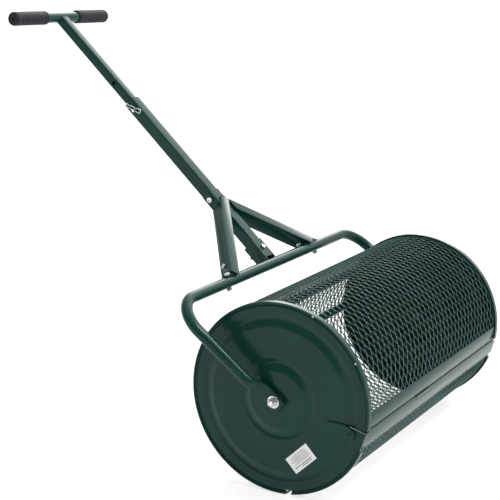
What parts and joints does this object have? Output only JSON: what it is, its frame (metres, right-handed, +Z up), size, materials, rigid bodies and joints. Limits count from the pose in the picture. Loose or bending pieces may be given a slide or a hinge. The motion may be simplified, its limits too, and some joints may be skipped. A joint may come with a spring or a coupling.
{
  "type": "lawn roller",
  "caption": "Push roller with a closed mesh drum and hinged loading door, carried in a tube yoke with a telescoping T-handle.",
  "frame": {"origin": "centre of the object's box, on the floor under it", "axes": "+X along the drum's axle, -Y the drum's front, +Y towards the raised handle, +Z up"},
  "size_m": [0.7562, 0.9119, 0.8394],
  "materials": {
    "green_paint": "glossy dark green powder coat",
    "mesh_green_paint": "dark green powder coat on expanded mesh",
    "zinc_plate": "bright zinc plate",
    "grip_rubber": "matt dark grey",
    "bush_nylon": "black moulded",
    "label_white": "plain white sticker"
  },
  "bodies": {
    "frame": {"apex_bolt": "zinc_plate", "apex_nut": "zinc_plate", "bracket_bolt": "zinc_plate", "bracket_nut": "zinc_plate", "centre_bracket": "green_paint", "left_axle_bolt": "zinc_plate", "left_axle_nut": "zinc_plate", "left_axle_spacer": "zinc_plate", "left_axle_washer": "zinc_plate", "left_brace": "green_paint", "left_brace_bolt": "zinc_plate", "left_brace_nut": "zinc_plate", "left_lug": "green_paint", "left_lug_bolt": "zinc_plate", "left_lug_nut": "zinc_plate", "lower_handle_tube": "green_paint", "right_axle_bolt": "zinc_plate", "right_axle_nut": "zinc_plate", "right_axle_spacer": "zinc_plate", "right_axle_washer": "zinc_plate", "right_brace": "green_paint", "right_brace_bolt": "zinc_plate", "right_brace_nut": "zinc_plate", "right_lug": "green_paint", "right_lug_bolt": "zinc_plate", "right_lug_nut": "zinc_plate", "yoke_tube": "green_paint"},
    "upper_handle": {"upper_handle_tube": "green_paint", "t_bar": "green_paint", "left_grip": "grip_rubber", "right_grip": "grip_rubber"},
    "locking_pin": {"locking_pin": "zinc_plate", "hairpin_clip": "zinc_plate"},
    "drum": {"left_disc": "green_paint", "right_disc": "green_paint", "left_bush": "bush_nylon", "right_bush": "bush_nylon", "upper_mesh": "mesh_green_paint", "rear_mesh": "mesh_green_paint", "front_edge_bar": "green_paint", "back_bar": "green_paint", "back_strap": "green_paint", "hinge_edge_bar": "green_paint", "left_end_band": "green_paint", "right_end_band": "green_paint", "hinge_rod": "zinc_plate", "blank_label": "label_white"},
    "door": {"door_mesh": "mesh_green_paint", "door_latch_bar": "green_paint", "door_hinge_bar": "green_paint", "door_left_band": "green_paint", "door_right_band": "green_paint", "door_finger_lip": "green_paint", "left_latch_rivet": "green_paint", "right_latch_rivet": "green_paint"},
    "left_latch": {"left_latch": "green_paint"},
    "right_latch": {"right_latch": "green_paint"}
  },
  "joints": [
    {"name": "drum_spin", "type": "hinge", "parent": "frame", "child": "drum", "pos_m": [0, -0.27604, 0.18], "axis": [1, 0, 0], "continuous": true},
    {"name": "handle_telescope", "type": "slide", "parent": "frame", "child": "upper_handle", "axis": [0, 0.7314, 0.682], "range_m": [-0.077, 0.077]},
    {"name": "pin_pull", "type": "slide", "parent": "frame", "child": "locking_pin", "axis": [-1, 0, 0], "range_m": [0, 0.045]},
    {"name": "door_swing", "type": "hinge", "parent": "drum", "child": "door", "pos_m": [0, -0.29652, 0.0057], "axis": [1, 0, 0], "range_deg": [0, 110]},
    {"name": "left_latch_turn", "type": "hinge", "parent": "door", "child": "left_latch", "pos_m": [-0.3262, -0.42231, 0.14053], "axis": [1, 0, 0], "range_deg": [0, 90]},
    {"name": "right_latch_turn", "type": "hinge", "parent": "door", "child": "right_latch", "pos_m": [0.3262, -0.42231, 0.14053], "axis": [1, 0, 0], "range_deg": [0, 90]}
  ]
}
